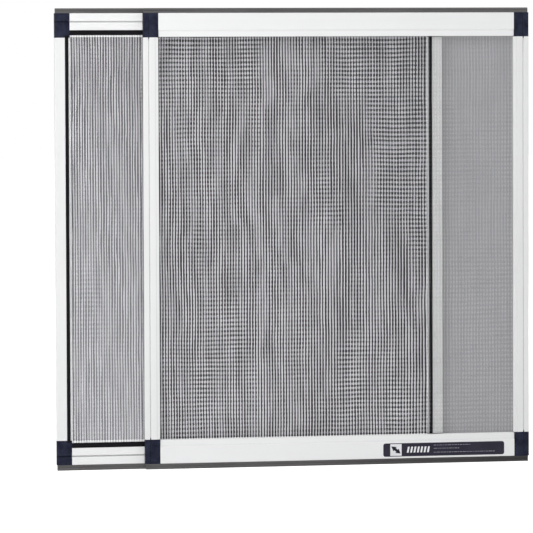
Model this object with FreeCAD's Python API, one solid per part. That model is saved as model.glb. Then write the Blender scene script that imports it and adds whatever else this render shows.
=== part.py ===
import FreeCAD, Part
import math
import os

# An adjustable insect screen for a sash window. Two equal frames of extruded aluminium stand back
# to back and slide on each other sideways, so that the pair fills openings of several widths.
# Each frame has two rails, two stiles, four plastic corner keys, a stretched mesh held by four
# lengths of spline, and a vinyl seal along its head and its sill. A tongue on the back of the
# front frame's rails runs in an undercut groove in the rear frame's rails and corner keys.
#
# X runs to the right as seen from the front, Y runs away from the viewer and Z runs up. The origin
# is on the sill seal of the front frame, at the middle of its width and of its depth.
# Each piece is first built for the lower left corner of a frame that lies with its plain face at
# y = 0 and its spline side at y = FRAME_DEPTH, and is then mirrored and moved to its own place.

Vector = FreeCAD.Vector
ORIGIN = Vector(0, 0, 0)
ALONG_X = Vector(1, 0, 0)
ALONG_Y = Vector(0, 1, 0)
ALONG_Z = Vector(0, 0, 1)
COINCIDENT = 1e-6
CUT_OVERRUN = 1.0

# Driving dimensions in millimetres

FRAME_WIDTH = 521.0
FRAME_HEIGHT = 610.0
FRAME_DEPTH = 8.0
EXTENSION = 116.5
SLIDE_GAP = 0.8

# Aluminium extrusions
STILE_WIDTH = 20.0
RAIL_HEIGHT = 31.5
WALL = 1.1
EDGE_RADIUS = 0.7

# Decorative lines on the plain face
VEE_WIDTH = 1.8
VEE_DEPTH = 0.7
STILE_VEE_SETBACK = 7.2
STILE_STEP_FROM_INNER_EDGE = 4.5
STILE_STEP_DEPTH = 0.4
RAIL_STEP_FROM_INNER_EDGE = 9.5
RAIL_STEP_WIDTH = 1.7
RAIL_STEP_DEPTH = 1.2

# Groove and lip that hold the mesh
LIP_WIDTH = 1.5
RAIL_LIP_WIDTH = 2.3
LIP_DROP = 1.0
STILE_GROOVE_WIDTH = 5.0
RAIL_GROOVE_WIDTH = 6.9
GROOVE_DEPTH = 4.4

# Sliding tongue and its undercut groove
TRACK_SETBACK = 11.4
TRACK_LIP = 1.0
TONGUE_STEM = 0.9
TONGUE_HEAD_WIDTH = 3.6
TONGUE_HEAD_THICKNESS = 1.0
TRACK_SIDE_CLEARANCE = 0.5
TRACK_DEPTH_CLEARANCE = 0.3

# Vinyl seals
HEAD_SEAL_HEIGHT = 6.5
SILL_SEAL_HEIGHT = 7.5
SEAL_DEPTH = 6.0
SEAL_WALL = 0.9
SEAL_RADIUS = 1.2
SEAL_BEAD_GROOVE = 0.5
SEAL_END_SETBACK = 1.0
SEAL_MOUTH = 3.0
SEAL_SLOT_LIP = 1.0
SEAL_FOOT_WIDTH = 4.6
SEAL_FOOT_THICKNESS = 1.0
SEAL_FIT_CLEARANCE = 0.15

# Corner keys
KEY_OVERHANG = 0.7
KEY_PROUD = 0.2
KEY_CHAMFER = 0.2
KEY_LEG_LENGTH = 22.0
KEY_LEG_TAPER = 2.0
KEY_LEG_LEAD = 0.5
KEY_FIT_CLEARANCE = 0.15
KEY_POINT_LENGTH = 3.0
KEY_NOTCH = 3.0
KEY_END_CLEARANCE = 0.1

# Mesh and spline
MESH_THICKNESS = 0.4
MESH_PITCH = 9.4
MESH_WIRE_WIDTH = 3.2
MESH_RIDGE_WIDTH = 1.0
MESH_RIDGE_HEIGHT = 0.35
MESH_ROWS = 2
MESH_BORDER = 3.0
MESH_TUCK = 3.0
SPLINE_CLEARANCE = 0.1
SPLINE_RADIUS = 1.0

# Printed label on the sill rail
LABEL_WIDTH = 165.8
LABEL_HEIGHT = 17.8
LABEL_THICKNESS = 0.15
LABEL_RADIUS = 3.0
LABEL_RIGHT_INSET = 34.2
LABEL_SETUP = 2.5

# Sizes that follow from the driving ones

KEY_HEIGHT = RAIL_HEIGHT + KEY_OVERHANG

STILE_GROOVE_START = STILE_WIDTH - LIP_WIDTH - STILE_GROOVE_WIDTH
STILE_GROOVE_END = STILE_WIDTH - LIP_WIDTH
RAIL_GROOVE_START = RAIL_HEIGHT - RAIL_LIP_WIDTH - RAIL_GROOVE_WIDTH
RAIL_GROOVE_END = RAIL_HEIGHT - RAIL_LIP_WIDTH
GROOVE_FLOOR = FRAME_DEPTH - GROOVE_DEPTH
LIP_LEVEL = FRAME_DEPTH - LIP_DROP

SEAL_SLOT_WIDTH = SEAL_FOOT_WIDTH + 2 * SEAL_FIT_CLEARANCE
SEAL_SLOT_DEPTH = SEAL_SLOT_LIP + SEAL_FOOT_THICKNESS + 2 * SEAL_FIT_CLEARANCE

TRACK_MOUTH = TONGUE_STEM + 2 * TRACK_SIDE_CLEARANCE
TRACK_CAVITY_WIDTH = TONGUE_HEAD_WIDTH + 2 * TRACK_SIDE_CLEARANCE
TRACK_CAVITY_FLOOR = FRAME_DEPTH - TRACK_LIP - TONGUE_HEAD_THICKNESS - 2 * TRACK_DEPTH_CLEARANCE
TONGUE_HEAD_LEVEL = FRAME_DEPTH + SLIDE_GAP + TRACK_LIP + TRACK_DEPTH_CLEARANCE

RAIL_CHAMBER_START = SEAL_SLOT_DEPTH + WALL
RAIL_CHAMBER_END = RAIL_GROOVE_START - WALL
STILE_CHAMBER_END = STILE_GROOVE_START - WALL
CHAMBER_ROOF = FRAME_DEPTH - WALL
RAIL_LEG_START = TRACK_SETBACK + TRACK_CAVITY_WIDTH / 2 + WALL

RAIL_SPAN = FRAME_HEIGHT - HEAD_SEAL_HEIGHT - SILL_SEAL_HEIGHT
RAIL_LENGTH = FRAME_WIDTH - 2 * STILE_WIDTH
STILE_LENGTH = RAIL_SPAN - 2 * KEY_HEIGHT


# Small helpers for outlines and solids

def outline(corners):
    """Closed wire through corners given as (point, radius); a radius above 0 rounds that corner."""
    count = len(corners)
    arcs = []
    for index, (point, radius) in enumerate(corners):
        if radius <= 0:
            arcs.append((point, point, point))
            continue
        back = (corners[index - 1][0] - point).normalize()
        ahead = (corners[(index + 1) % count][0] - point).normalize()
        half_angle = back.getAngle(ahead) / 2
        reach = radius / math.tan(half_angle)
        middle_way = (back + ahead).normalize()
        middle = point + middle_way * (radius / math.sin(half_angle) - radius)
        arcs.append((point + back * reach, middle, point + ahead * reach))
    edges = []
    for index, (start, middle, end) in enumerate(arcs):
        if not start.isEqual(end, COINCIDENT):
            edges.append(Part.Arc(start, middle, end).toShape())
        following = arcs[(index + 1) % count][0]
        if not end.isEqual(following, COINCIDENT):
            edges.append(Part.LineSegment(end, following).toShape())
    return Part.Wire(edges)


def rail_outline(corners):
    """Outline in a rail's cross-section; corners are (inward, depth) with an optional radius."""
    return outline([(Vector(0, depth, inward), sum(rounding)) for inward, depth, *rounding in corners])


def stile_outline(corners):
    """Outline in a stile's cross-section; corners are (inward, depth) with an optional radius."""
    return outline([(Vector(inward, depth, 0), sum(rounding)) for inward, depth, *rounding in corners])


def front_outline(corners):
    """Outline seen from the front; corners are (x, z) with an optional radius."""
    return outline([(Vector(x, 0, z), sum(rounding)) for x, z, *rounding in corners])


def prism(outer, way, hollows=()):
    """Solid between a closed outline and the same outline moved by way, less its hollows."""
    return Part.makeFace([outer, *hollows], "Part::FaceMakerBullseye").extrude(way)


def block(x, y, z):
    """Box between two limits on each axis."""
    corner = Vector(x[0], y[0], z[0])
    return Part.makeBox(x[1] - x[0], y[1] - y[0], z[1] - z[0], corner)


def around(centre, width):
    """Lower and upper limit of a width that is centred on a place."""
    return centre - width / 2, centre + width / 2


def settle(shape, rear=False, right=False, top=False):
    """Mirror and move a piece from the lower left corner to its own place in one of the frames."""
    left_edge = -FRAME_WIDTH / 2 - (EXTENSION if rear else 0.0)
    if right:
        shape = shape.mirror(ORIGIN, ALONG_X)
        left_edge += FRAME_WIDTH
    if top:
        shape = shape.mirror(ORIGIN, ALONG_Z)
    plain_face = -FRAME_DEPTH / 2
    if rear:
        shape = shape.mirror(ORIGIN, ALONG_Y)
        plain_face += 2 * FRAME_DEPTH + SLIDE_GAP
    rail_edge = FRAME_HEIGHT - HEAD_SEAL_HEIGHT if top else SILL_SEAL_HEIGHT
    return shape.translated(Vector(left_edge, plain_face, rail_edge))


# Aluminium rails and stiles

def vee_corners(setback):
    """Corners of the decorative vee in a plain face."""
    start, end = around(setback, VEE_WIDTH)
    return [(start, 0), (setback, VEE_DEPTH), (end, 0)]


def step_corners(width, setback, slant, depth):
    """Corners of the slanted step and the rounded inner edge of a plain face."""
    start = width - setback
    return [(start, 0), (start + slant, depth), (width, depth, EDGE_RADIUS)]


def mesh_groove_corners(start, end, width):
    """Corners of the lip and the groove for the spline, from the inner edge outwards."""
    return [
        (width, LIP_LEVEL),
        (end, LIP_LEVEL),
        (end, GROOVE_FLOOR),
        (start, GROOVE_FLOOR),
        (start, FRAME_DEPTH),
    ]


def tongue_corners():
    """Corners of the T-shaped tongue that stands on the back of the front frame's rails."""
    stem_low, stem_high = around(TRACK_SETBACK, TONGUE_STEM)
    head_low, head_high = around(TRACK_SETBACK, TONGUE_HEAD_WIDTH)
    head_top = TONGUE_HEAD_LEVEL + TONGUE_HEAD_THICKNESS
    return [
        (stem_high, FRAME_DEPTH),
        (stem_high, TONGUE_HEAD_LEVEL),
        (head_high, TONGUE_HEAD_LEVEL),
        (head_high, head_top),
        (head_low, head_top),
        (head_low, TONGUE_HEAD_LEVEL),
        (stem_low, TONGUE_HEAD_LEVEL),
        (stem_low, FRAME_DEPTH),
    ]


def track_corners():
    """Corners of the undercut groove that takes the tongue."""
    mouth_low, mouth_high = around(TRACK_SETBACK, TRACK_MOUTH)
    cavity_low, cavity_high = around(TRACK_SETBACK, TRACK_CAVITY_WIDTH)
    lip_inside = FRAME_DEPTH - TRACK_LIP
    return [
        (mouth_high, FRAME_DEPTH),
        (mouth_high, lip_inside),
        (cavity_high, lip_inside),
        (cavity_high, TRACK_CAVITY_FLOOR),
        (cavity_low, TRACK_CAVITY_FLOOR),
        (cavity_low, lip_inside),
        (mouth_low, lip_inside),
        (mouth_low, FRAME_DEPTH),
    ]


def seal_slot_corners():
    """Corners of the slot in a rail's outer edge that holds the foot of the seal."""
    mouth_low, mouth_high = around(FRAME_DEPTH / 2, SEAL_MOUTH)
    slot_low, slot_high = around(FRAME_DEPTH / 2, SEAL_SLOT_WIDTH)
    return [
        (0, mouth_high),
        (SEAL_SLOT_LIP, mouth_high),
        (SEAL_SLOT_LIP, slot_high),
        (SEAL_SLOT_DEPTH, slot_high),
        (SEAL_SLOT_DEPTH, slot_low),
        (SEAL_SLOT_LIP, slot_low),
        (SEAL_SLOT_LIP, mouth_low),
        (0, mouth_low),
    ]


def rail_chamber_corners(rear):
    """Corners of the hollow inside a rail; in the rear frame it passes under the undercut groove."""
    corners = [(RAIL_CHAMBER_START, WALL), (RAIL_CHAMBER_END, WALL), (RAIL_CHAMBER_END, CHAMBER_ROOF)]
    if rear:
        low, high = around(TRACK_SETBACK, TRACK_CAVITY_WIDTH + 2 * WALL)
        corners += [
            (high, CHAMBER_ROOF),
            (high, TRACK_CAVITY_FLOOR - WALL),
            (low, TRACK_CAVITY_FLOOR - WALL),
            (low, CHAMBER_ROOF),
        ]
    return corners + [(RAIL_CHAMBER_START, CHAMBER_ROOF)]


def stile_chamber_corners():
    """Corners of the hollow inside a stile."""
    return [
        (WALL, WALL),
        (STILE_CHAMBER_END, WALL),
        (STILE_CHAMBER_END, CHAMBER_ROOF),
        (WALL, CHAMBER_ROOF),
    ]


def make_rail(rear):
    """Rail between two corner keys, with the tongue or the undercut groove along its length."""
    corners = [(0, 0, EDGE_RADIUS)]
    corners += step_corners(RAIL_HEIGHT, RAIL_STEP_FROM_INNER_EDGE, RAIL_STEP_WIDTH, RAIL_STEP_DEPTH)
    corners += mesh_groove_corners(RAIL_GROOVE_START, RAIL_GROOVE_END, RAIL_HEIGHT)
    corners += track_corners() if rear else tongue_corners()
    corners += [(0, FRAME_DEPTH, EDGE_RADIUS)]
    corners += seal_slot_corners()
    chamber = rail_outline(rail_chamber_corners(rear))
    rail = prism(rail_outline(corners), Vector(RAIL_LENGTH, 0, 0), [chamber])
    return rail.translated(Vector(STILE_WIDTH, 0, 0))


def make_stile():
    """Stile between two corner keys, a hollow extrusion with the groove for the mesh."""
    corners = [(0, 0, EDGE_RADIUS)]
    corners += vee_corners(STILE_VEE_SETBACK)
    corners += step_corners(STILE_WIDTH, STILE_STEP_FROM_INNER_EDGE, STILE_STEP_DEPTH, STILE_STEP_DEPTH)
    corners += mesh_groove_corners(STILE_GROOVE_START, STILE_GROOVE_END, STILE_WIDTH)
    corners += [(0, FRAME_DEPTH, EDGE_RADIUS)]
    chamber = stile_outline(stile_chamber_corners())
    stile = prism(stile_outline(corners), Vector(0, 0, STILE_LENGTH), [chamber])
    return stile.translated(Vector(0, 0, KEY_HEIGHT))


# Plastic corner keys

def make_key_leg(across, length_start, along_x):
    """Leg of a corner key, tapered at its tip, that fills the hollow of a rail or a stile."""
    low, high = across[0] + KEY_FIT_CLEARANCE, across[1] - KEY_FIT_CLEARANCE
    near, far = WALL + KEY_FIT_CLEARANCE, CHAMBER_ROOF - KEY_FIT_CLEARANCE
    tip = length_start + KEY_LEG_LENGTH
    shoulder = tip - KEY_LEG_TAPER
    corners = [
        (length_start, low),
        (shoulder, low),
        (tip, low + KEY_LEG_LEAD),
        (tip, high - KEY_LEG_LEAD),
        (shoulder, high),
        (length_start, high),
    ]
    if not along_x:
        corners = [(side, lengthwise) for lengthwise, side in corners]
    leg = prism(front_outline(corners), Vector(0, far - near, 0))
    return leg.translated(Vector(0, near, 0))


def make_key_point():
    """Point of a corner key that reaches into the vee of the stile's plain face."""
    start, end = around(STILE_VEE_SETBACK, VEE_WIDTH)
    tip = KEY_HEIGHT + KEY_POINT_LENGTH
    plan = [(start, KEY_HEIGHT), (end, KEY_HEIGHT), (STILE_VEE_SETBACK, tip)]
    point = prism(front_outline(plan), Vector(0, VEE_DEPTH, 0))
    vee = prism(stile_outline(vee_corners(STILE_VEE_SETBACK)), Vector(0, 0, tip))
    return point.common(vee)


def make_key(rear):
    """Corner key: a moulded block with two legs, a notch for the spline and a slot for the seal."""
    across = (0, STILE_WIDTH)
    whole = (-KEY_PROUD, FRAME_DEPTH)
    key = block(across, whole, (0, KEY_HEIGHT))
    face_edges = [edge for edge in key.Edges if edge.BoundBox.YMax < -KEY_PROUD / 2]
    key = key.makeChamfer(KEY_CHAMFER, face_edges)

    right, top, back = (limit + CUT_OVERRUN for limit in (STILE_WIDTH, KEY_HEIGHT, FRAME_DEPTH))
    spline_groove = (STILE_GROOVE_START, STILE_GROOVE_END)
    cutters = [
        block(spline_groove, (GROOVE_FLOOR, back), (KEY_HEIGHT - KEY_NOTCH, top)),
        prism(rail_outline(seal_slot_corners()), ALONG_X * right),
        prism(stile_outline(vee_corners(STILE_VEE_SETBACK)), ALONG_Z * KEY_HEIGHT)
        .translated(ALONG_Y * -KEY_PROUD),
    ]
    if rear:
        cutters.append(prism(rail_outline(track_corners()), ALONG_X * right))
    for cutter in cutters:
        key = key.cut(cutter)

    key = key.fuse(make_key_leg((RAIL_LEG_START, RAIL_CHAMBER_END), STILE_WIDTH, along_x=True))
    key = key.fuse(make_key_leg((WALL, STILE_CHAMBER_END), KEY_HEIGHT, along_x=False))
    key = key.fuse(make_key_point())
    return key.removeSplitter()


# Seals

def make_seal(height):
    """Hollow vinyl seal along the outer edge of a rail and over its two corner keys."""
    front, back = around(FRAME_DEPTH / 2, SEAL_DEPTH)
    neck_low, neck_high = around(FRAME_DEPTH / 2, SEAL_MOUTH - 2 * SEAL_FIT_CLEARANCE)
    foot_low, foot_high = around(FRAME_DEPTH / 2, SEAL_FOOT_WIDTH)
    foot_level = SEAL_SLOT_LIP + SEAL_FIT_CLEARANCE
    middle = -height / 2
    skin = rail_outline([
        (0, back),
        (middle + SEAL_BEAD_GROOVE, back),
        (middle, back - SEAL_BEAD_GROOVE),
        (middle - SEAL_BEAD_GROOVE, back),
        (-height, back, SEAL_RADIUS),
        (-height, front, SEAL_RADIUS),
        (middle - SEAL_BEAD_GROOVE, front),
        (middle, front + SEAL_BEAD_GROOVE),
        (middle + SEAL_BEAD_GROOVE, front),
        (0, front),
        (0, neck_low),
        (foot_level, neck_low),
        (foot_level, foot_low),
        (foot_level + SEAL_FOOT_THICKNESS, foot_low),
        (foot_level + SEAL_FOOT_THICKNESS, foot_high),
        (foot_level, foot_high),
        (foot_level, neck_high),
        (0, neck_high),
    ])
    inset = SEAL_WALL + SEAL_BEAD_GROOVE
    bore = rail_outline([
        (-SEAL_WALL, front + inset),
        (SEAL_WALL - height, front + inset),
        (SEAL_WALL - height, back - inset),
        (-SEAL_WALL, back - inset),
    ])
    length = FRAME_WIDTH - 2 * SEAL_END_SETBACK
    return prism(skin, Vector(length, 0, 0), [bore]).translated(Vector(SEAL_END_SETBACK, 0, 0))


# Mesh, spline and label

def make_mesh():
    """Mesh panel: a thin wall with ridges and gaps, tucked into the grooves between the keys."""
    left, bottom = STILE_GROOVE_END - MESH_THICKNESS, RAIL_GROOVE_END - MESH_THICKNESS
    right, top = FRAME_WIDTH - left, RAIL_SPAN - bottom
    inner_left, inner_bottom = STILE_WIDTH + KEY_END_CLEARANCE, KEY_HEIGHT + KEY_END_CLEARANCE
    inner_right, inner_top = FRAME_WIDTH - inner_left, RAIL_SPAN - inner_bottom
    open_left, open_bottom = STILE_WIDTH + MESH_BORDER, RAIL_HEIGHT + MESH_BORDER
    open_width, open_height = FRAME_WIDTH - 2 * open_left, RAIL_SPAN - 2 * open_bottom
    columns = int(open_width / MESH_PITCH)
    column_pitch = (open_width + MESH_WIRE_WIDTH) / columns
    row_pitch = (open_height + MESH_WIRE_WIDTH) / MESH_ROWS

    gaps = []
    for column in range(columns):
        gap_left = open_left + column * column_pitch
        gap_right = gap_left + column_pitch - MESH_WIRE_WIDTH
        for row in range(MESH_ROWS):
            gap_low = open_bottom + row * row_pitch
            gap_high = gap_low + row_pitch - MESH_WIRE_WIDTH
            corners = [(gap_left, gap_low), (gap_right, gap_low), (gap_right, gap_high), (gap_left, gap_high)]
            gaps.append(front_outline(corners))
    border = front_outline([
        (inner_left, bottom),
        (inner_right, bottom),
        (inner_right, inner_bottom),
        (right, inner_bottom),
        (right, inner_top),
        (inner_right, inner_top),
        (inner_right, top),
        (inner_left, top),
        (inner_left, inner_top),
        (left, inner_top),
        (left, inner_bottom),
        (inner_left, inner_bottom),
    ])
    sheet = prism(border, Vector(0, MESH_THICKNESS, 0), gaps).translated(Vector(0, LIP_LEVEL, 0))

    above = LIP_LEVEL + MESH_THICKNESS
    tuck = (above - MESH_TUCK, above)
    pieces = [
        block((left, left + MESH_THICKNESS), tuck, (inner_bottom, inner_top)),
        block((right - MESH_THICKNESS, right), tuck, (inner_bottom, inner_top)),
        block((inner_left, inner_right), tuck, (bottom, bottom + MESH_THICKNESS)),
        block((inner_left, inner_right), tuck, (top - MESH_THICKNESS, top)),
    ]
    ridge_span = (RAIL_HEIGHT, RAIL_SPAN - RAIL_HEIGHT)
    for column in range(1, columns):
        ridge = around(open_left + column * column_pitch - MESH_WIRE_WIDTH / 2, MESH_RIDGE_WIDTH)
        pieces.append(block(ridge, (above, above + MESH_RIDGE_HEIGHT), ridge_span))
    return sheet.fuse(pieces).removeSplitter()


def make_spline(groove_start, groove_end, low, high):
    """Spline that holds the mesh in one groove, cut square at both ends.

    It is built upright along Z from low to high, with its groove across X.
    """
    left = groove_start + SPLINE_CLEARANCE
    right = groove_end - MESH_THICKNESS - SPLINE_CLEARANCE
    section = stile_outline([
        (left, GROOVE_FLOOR + SPLINE_CLEARANCE),
        (left, FRAME_DEPTH, SPLINE_RADIUS),
        (right, FRAME_DEPTH, SPLINE_RADIUS),
        (right, GROOVE_FLOOR + SPLINE_CLEARANCE),
    ])
    return prism(section, Vector(0, 0, high - low)).translated(Vector(0, 0, low))


def upright_to_level(shape):
    """Swap X and Z, so that a piece built along a stile lies along the sill rail."""
    turned = shape.rotated(ORIGIN, ALONG_Y, 90)
    return turned.mirror(ORIGIN, ALONG_Z)


def make_splines():
    """Splines of the left stile and of the sill rail."""
    low = KEY_HEIGHT - KEY_NOTCH + KEY_END_CLEARANCE
    left = STILE_WIDTH + KEY_END_CLEARANCE
    upright = make_spline(STILE_GROOVE_START, STILE_GROOVE_END, low, RAIL_SPAN - low)
    level = make_spline(RAIL_GROOVE_START, RAIL_GROOVE_END, left, FRAME_WIDTH - left)
    return upright, upright_to_level(level)


def make_label():
    """Thin printed label on the plain face of the front sill rail."""
    right = FRAME_WIDTH - LABEL_RIGHT_INSET
    left = right - LABEL_WIDTH
    low, high = LABEL_SETUP, LABEL_SETUP + LABEL_HEIGHT
    plan = front_outline([
        (left, low, LABEL_RADIUS),
        (right, low, LABEL_RADIUS),
        (right, high, LABEL_RADIUS),
        (left, high, LABEL_RADIUS),
    ])
    return prism(plan, Vector(0, -LABEL_THICKNESS, 0))


# Assembly

def make_frame(name, rear):
    """All pieces of one frame, as a dictionary of node name to shape."""
    rail, stile, key = make_rail(rear), make_stile(), make_key(rear)
    upright_spline, level_spline = make_splines()
    seals = {False: make_seal(SILL_SEAL_HEIGHT), True: make_seal(HEAD_SEAL_HEIGHT)}
    pieces = {f"{name}_mesh": settle(make_mesh(), rear)}
    for top, level in ((True, "top"), (False, "bottom")):
        pieces[f"{name}_{level}_rail"] = settle(rail, rear, top=top)
        pieces[f"{name}_{level}_spline"] = settle(level_spline, rear, top=top)
        pieces[f"{name}_{level}_seal"] = settle(seals[top], rear, top=top)
        for right, side in ((False, "left"), (True, "right")):
            pieces[f"{name}_{level}_{side}_corner"] = settle(key, rear, right, top)
    for right, side in ((False, "left"), (True, "right")):
        pieces[f"{name}_{side}_stile"] = settle(stile, rear, right)
        pieces[f"{name}_{side}_spline"] = settle(upright_spline, rear, right)
    return pieces


def main():
    """Build both frames and write one STEP file for each piece."""
    pieces = make_frame("front", rear=False)
    pieces["front_label"] = settle(make_label())
    pieces.update(make_frame("rear", rear=True))
    os.makedirs("parts", exist_ok=True)
    for node, shape in pieces.items():
        solid_check = "valid" if shape.isValid() else "INVALID"
        print(f"{node}: {len(shape.Solids)} solid, {shape.Volume / 1000:.2f} cm3, {solid_check}")
        shape.exportStep(os.path.join("parts", f"{node}.step"))


main()
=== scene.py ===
"""Looks of an adjustable window screen: two sliding aluminium frames with wire mesh.

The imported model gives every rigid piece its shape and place. This script finishes those pieces,
weaves the wire mesh of both frames, prints the label and sets up the studio.
"""
import logging
import math
from dataclasses import dataclass, field
from enum import Enum

import bpy
from mathutils import Matrix, Vector


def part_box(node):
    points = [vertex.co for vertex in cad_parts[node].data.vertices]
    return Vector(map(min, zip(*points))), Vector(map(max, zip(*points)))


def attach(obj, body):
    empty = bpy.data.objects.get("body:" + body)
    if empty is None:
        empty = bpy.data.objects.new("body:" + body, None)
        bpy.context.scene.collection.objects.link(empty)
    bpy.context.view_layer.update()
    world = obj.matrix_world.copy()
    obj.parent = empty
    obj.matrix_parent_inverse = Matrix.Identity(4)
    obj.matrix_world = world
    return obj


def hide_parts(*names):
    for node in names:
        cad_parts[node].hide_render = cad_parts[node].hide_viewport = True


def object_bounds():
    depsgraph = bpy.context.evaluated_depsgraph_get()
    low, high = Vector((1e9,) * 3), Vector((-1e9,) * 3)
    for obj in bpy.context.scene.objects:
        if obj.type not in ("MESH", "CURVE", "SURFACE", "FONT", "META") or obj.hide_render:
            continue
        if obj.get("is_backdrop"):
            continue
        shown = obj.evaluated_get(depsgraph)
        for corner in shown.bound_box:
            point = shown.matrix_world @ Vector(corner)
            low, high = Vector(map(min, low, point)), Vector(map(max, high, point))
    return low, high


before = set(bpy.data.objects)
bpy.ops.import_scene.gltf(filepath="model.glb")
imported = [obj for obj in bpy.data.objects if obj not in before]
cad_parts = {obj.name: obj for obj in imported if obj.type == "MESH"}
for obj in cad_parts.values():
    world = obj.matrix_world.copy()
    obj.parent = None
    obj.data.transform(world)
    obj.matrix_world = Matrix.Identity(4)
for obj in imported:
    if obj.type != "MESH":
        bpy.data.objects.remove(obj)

MILLIMETRE = 0.001
PHOTO_PIXELS = 533
SENSOR_WIDTH = 36.0
MOTTLE_RANGE = (0.3, 0.7)
LINE_RANGE = (0.25, 0.75)
OPEN_RANGE = (0.35, 0.95)
OPEN_SAMPLES = 6
FACING = 0.9

log = logging.getLogger("window_screen")


class Axis(Enum):
    """Direction along which an extruded piece was drawn."""

    X = 0
    Z = 2

    @property
    def vector(self) -> Vector:
        """Unit vector of this axis."""
        return Vector([1.0 if index == self.value else 0.0 for index in range(3)])


class SplineSide(Enum):
    """Side of a frame from which its mesh and spline were pressed in."""

    BACK = 1
    FRONT = -1


class Slot(Enum):
    """Material slots that the new pieces belong to."""

    SCREEN_MESH = "screen_mesh"
    LABEL = "label"


# Node trees

class Graph:
    """A node tree with short calls for adding and linking nodes."""

    def __init__(self, tree: bpy.types.NodeTree) -> None:
        """Wrap a tree and empty it."""
        self.tree = tree
        tree.nodes.clear()

    def node(self, kind: str, settings: dict | None = None, **inputs: object) -> bpy.types.Node:
        """Add a node.

        Args:
            kind: Blender's name for the node type.
            settings: properties to set on the node itself.
            inputs: value or output socket for each input, by its name with underscores for spaces.

        Returns:
            The new node.
        """
        node = self.tree.nodes.new(kind)
        for key, value in (settings or {}).items():
            setattr(node, key, value)
        for key, value in inputs.items():
            self.feed(node.inputs[key.replace("_", " ")], value)
        return node

    def feed(self, socket: bpy.types.NodeSocket, value: object) -> None:
        """Link an output to a socket, or set the socket to a plain value."""
        if isinstance(value, bpy.types.NodeSocket):
            self.tree.links.new(value, socket)
        else:
            socket.default_value = value

    def math(self, operation: str, first: object, second: object = 0.0) -> bpy.types.NodeSocket:
        """Result of a Math node on two values."""
        node = self.node("ShaderNodeMath", {"operation": operation})
        self.feed(node.inputs[0], first)
        self.feed(node.inputs[1], second)
        return node.outputs[0]

    def blend(self, factor: object, first: object, second: object) -> bpy.types.NodeSocket:
        """Colour between two colours."""
        node = self.node("ShaderNodeMix", {"data_type": "RGBA"})
        for index, value in ((0, factor), (6, first), (7, second)):
            self.feed(node.inputs[index], value)
        return node.outputs[2]

    def span(self, value: object, low: float, high: float, new_low: float = 0.0,
             new_high: float = 1.0) -> bpy.types.NodeSocket:
        """Value carried from one range to another and clamped there."""
        node = self.node("ShaderNodeMapRange", Value=value, From_Min=low, From_Max=high,
                         To_Min=new_low, To_Max=new_high)
        return node.outputs[0]

    def place(self, scale: Vector | tuple = (1, 1, 1),
              centre: Vector | tuple = (0, 0, 0)) -> bpy.types.NodeSocket:
        """Object coordinates, moved so that centre is at zero and then scaled."""
        coordinates = self.node("ShaderNodeTexCoord").outputs["Object"]
        moved = self.node("ShaderNodeVectorMath", {"operation": "SUBTRACT"})
        self.feed(moved.inputs[0], coordinates)
        self.feed(moved.inputs[1], tuple(centre))
        scaled = self.node("ShaderNodeMapping", Vector=moved.outputs[0], Scale=tuple(scale))
        return scaled.outputs[0]

    def noise(self, vector: object, scale: object, detail: float = 2.0,
              roughness: float = 0.5) -> bpy.types.NodeSocket:
        """Value of a noise texture."""
        node = self.node("ShaderNodeTexNoise", Vector=vector, Scale=scale, Detail=detail,
                         Roughness=roughness)
        return node.outputs[0]

    def coordinate(self, axis: Axis, centre: Vector | tuple = (0, 0, 0)) -> bpy.types.NodeSocket:
        """Object coordinate along one axis, counted from a centre."""
        node = self.node("ShaderNodeSeparateXYZ", Vector=self.place(centre=centre))
        return node.outputs[axis.name]


def new_group(name: str, inputs: dict[str, str], outputs: dict[str, str]) -> tuple:
    """Empty shader node group with named sockets.

    Args:
        name: the group's name.
        inputs: socket type of each input.
        outputs: socket type of each output.

    Returns:
        The group, its graph, its input node and its output node.
    """
    group = bpy.data.node_groups.new(name, "ShaderNodeTree")
    for way, sockets in (("INPUT", inputs), ("OUTPUT", outputs)):
        for label, kind in sockets.items():
            group.interface.new_socket(name=label, in_out=way, socket_type=kind)
    graph = Graph(group)
    return group, graph, graph.node("NodeGroupInput"), graph.node("NodeGroupOutput")


def build_grain_group() -> bpy.types.NodeTree:
    """Shared surface grain: fine relief and a slow mottle of the finish.

    Returns:
        Group with the outputs Height, for a Bump node, and Mottle, from 0 to 1.
    """
    group, graph, given, result = new_group(
        "surface_grain",
        {"Vector": "NodeSocketVector", "Grain Scale": "NodeSocketFloat",
         "Mottle Scale": "NodeSocketFloat"},
        {"Height": "NodeSocketFloat", "Mottle": "NodeSocketFloat"},
    )
    vector = given.outputs["Vector"]
    fine = graph.noise(vector, given.outputs["Grain Scale"], detail=3.0, roughness=0.6)
    slow = graph.noise(vector, given.outputs["Mottle Scale"], detail=2.0)
    graph.feed(result.inputs["Height"], fine)
    graph.feed(result.inputs["Mottle"], graph.span(slow, *MOTTLE_RANGE))
    return group


def build_drawn_group() -> bpy.types.NodeTree:
    """Shared die lines: streaks along the way in which a piece was extruded.

    Returns:
        Group with the output Lines, from 0 to 1.
    """
    group, graph, given, result = new_group(
        "drawn_lines",
        {"Vector": "NodeSocketVector", "Line Scale": "NodeSocketFloat"},
        {"Lines": "NodeSocketFloat"},
    )
    lines = graph.noise(given.outputs["Vector"], given.outputs["Line Scale"], detail=4.0, roughness=0.65)
    graph.feed(result.inputs["Lines"], graph.span(lines, *LINE_RANGE))
    return group


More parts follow.
